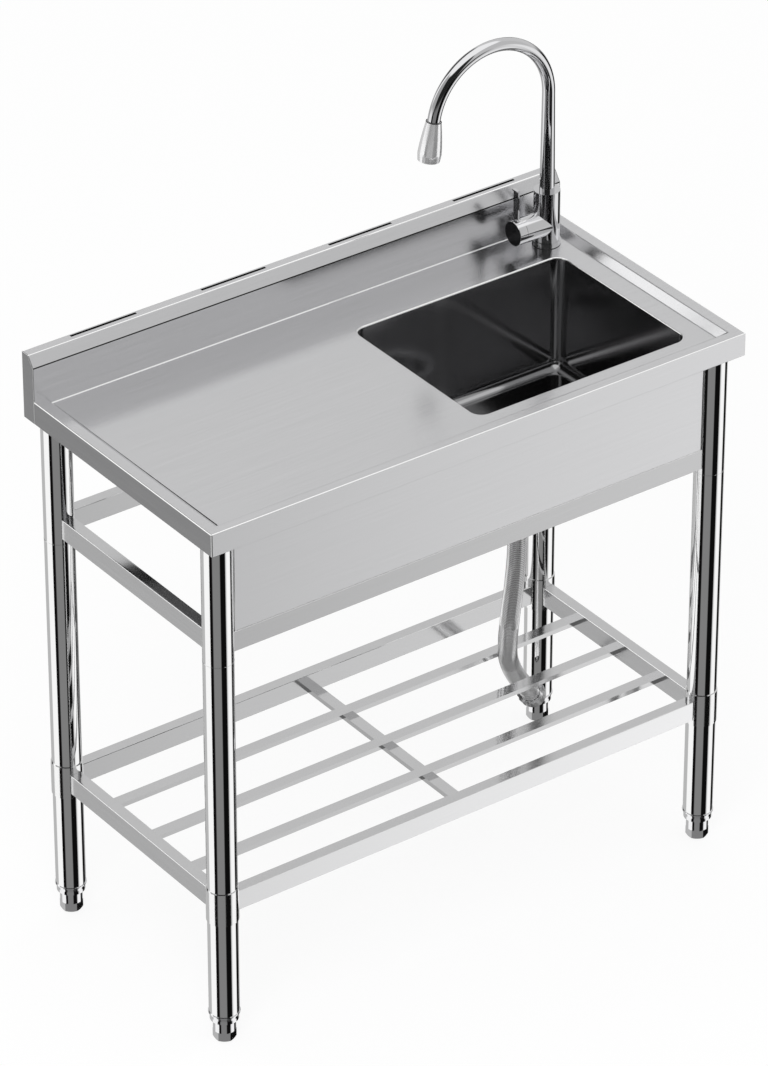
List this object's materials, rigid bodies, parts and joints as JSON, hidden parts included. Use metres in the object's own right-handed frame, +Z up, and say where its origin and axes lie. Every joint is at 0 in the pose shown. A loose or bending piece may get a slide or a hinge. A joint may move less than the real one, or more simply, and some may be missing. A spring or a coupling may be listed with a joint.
{
  "type": "kitchen sink unit",
  "caption": "Free-standing steel kitchen sink unit: worktop with drainer and bowl on tubular legs, backsplash, open shelf, gooseneck tap and drain hose.",
  "frame": {"origin": "on the floor, at the centre of the footprint", "axes": "+Z up, front toward -Y, +X to the right seen from the front"},
  "size_m": [1, 0.5, 1.3233],
  "materials": {
    "sheet_steel": "brushed",
    "bowl_steel": "polished",
    "leg_tube": "mirror polished",
    "rail_steel": "polished",
    "foot_steel": "polished",
    "fittings": "polished",
    "tap_chrome": "polished",
    "gasket_rubber": "matte",
    "brass": "turned",
    "dark_plastic": "matte",
    "drain_steel": "polished",
    "hose_steel": "ribbed, bright",
    "hose_nut_chrome": "polished"
  },
  "bodies": {
    "sink_unit": {"worktop": "sheet_steel", "worktop_ribs": "sheet_steel", "backsplash": "sheet_steel", "backsplash_cap_left": "sheet_steel", "backsplash_cap_right": "sheet_steel", "bowl": "bowl_steel", "front_panel": "sheet_steel", "upper_rail_front": "rail_steel", "upper_rail_rear": "rail_steel", "upper_rail_left": "rail_steel", "upper_rail_right": "rail_steel", "upper_leg_front_left": "leg_tube", "upper_leg_front_right": "leg_tube", "upper_leg_rear_left": "leg_tube", "upper_leg_rear_right": "leg_tube", "leg_seats": "fittings", "leg_joiners": "fittings", "lower_leg_front_left": "leg_tube", "lower_leg_front_right": "leg_tube", "lower_leg_rear_left": "leg_tube", "lower_leg_rear_right": "leg_tube", "shelf_collars": "fittings", "collar_screws": "fittings", "shelf_rail_front": "rail_steel", "shelf_rail_rear": "rail_steel", "shelf_rail_left": "rail_steel", "shelf_rail_right": "rail_steel", "shelf_slat_front": "rail_steel", "shelf_slat_middle": "rail_steel", "shelf_slat_rear": "rail_steel", "shelf_centre_bar": "rail_steel", "foot_inserts": "foot_steel", "faucet_body": "tap_chrome", "faucet_base_ring": "tap_chrome", "faucet_gasket": "gasket_rubber", "faucet_washer": "dark_plastic", "faucet_lock_nut": "brass", "cartridge": "dark_plastic", "cartridge_bonnet": "tap_chrome", "drain_flange": "drain_steel", "drain_gasket": "gasket_rubber", "drain_lock_nut": "dark_plastic", "hose_nut": "dark_plastic", "drain_hose": "hose_steel", "hose_end_nut": "hose_nut_chrome"},
    "spout": {"spout": "tap_chrome", "spray_head": "tap_chrome", "aerator": "dark_plastic"},
    "handle_carrier": {"handle_pivot": "brass"},
    "handle": {"handle_stem": "brass", "handle_cap": "tap_chrome", "lever": "tap_chrome"},
    "basket": {"strainer_basket": "drain_steel"},
    "foot_front_left": {"adjustable_foot_front_left": "foot_steel"},
    "foot_front_right": {"adjustable_foot_front_right": "foot_steel"},
    "foot_rear_left": {"adjustable_foot_rear_left": "foot_steel"},
    "foot_rear_right": {"adjustable_foot_rear_right": "foot_steel"}
  },
  "joints": [
    {"name": "spout_swivel", "type": "hinge", "parent": "sink_unit", "child": "spout", "pos_m": [0.4385, 0.1755, 1.028], "axis": [0, 0, 1], "continuous": true},
    {"name": "handle_turn", "type": "hinge", "parent": "sink_unit", "child": "handle_carrier", "pos_m": [0.4, 0.1755, 0.9687], "axis": [1, 0, 0], "range_deg": [-25, 65]},
    {"name": "handle_tilt", "type": "hinge", "parent": "handle_carrier", "child": "handle", "pos_m": [0.4, 0.1755, 0.9687], "axis": [0, -1, 0], "range_deg": [0, 20]},
    {"name": "basket_lift", "type": "slide", "parent": "sink_unit", "child": "basket", "axis": [0, 0, 1], "range_m": [0, 0.03]},
    {"name": "foot_front_left_height", "type": "slide", "parent": "sink_unit", "child": "foot_front_left", "axis": [0, 0, -1], "range_m": [0, 0.025]},
    {"name": "foot_front_right_height", "type": "slide", "parent": "sink_unit", "child": "foot_front_right", "axis": [0, 0, -1], "range_m": [0, 0.025]},
    {"name": "foot_rear_left_height", "type": "slide", "parent": "sink_unit", "child": "foot_rear_left", "axis": [0, 0, -1], "range_m": [0, 0.025]},
    {"name": "foot_rear_right_height", "type": "slide", "parent": "sink_unit", "child": "foot_rear_right", "axis": [0, 0, -1], "range_m": [0, 0.025]}
  ]
}
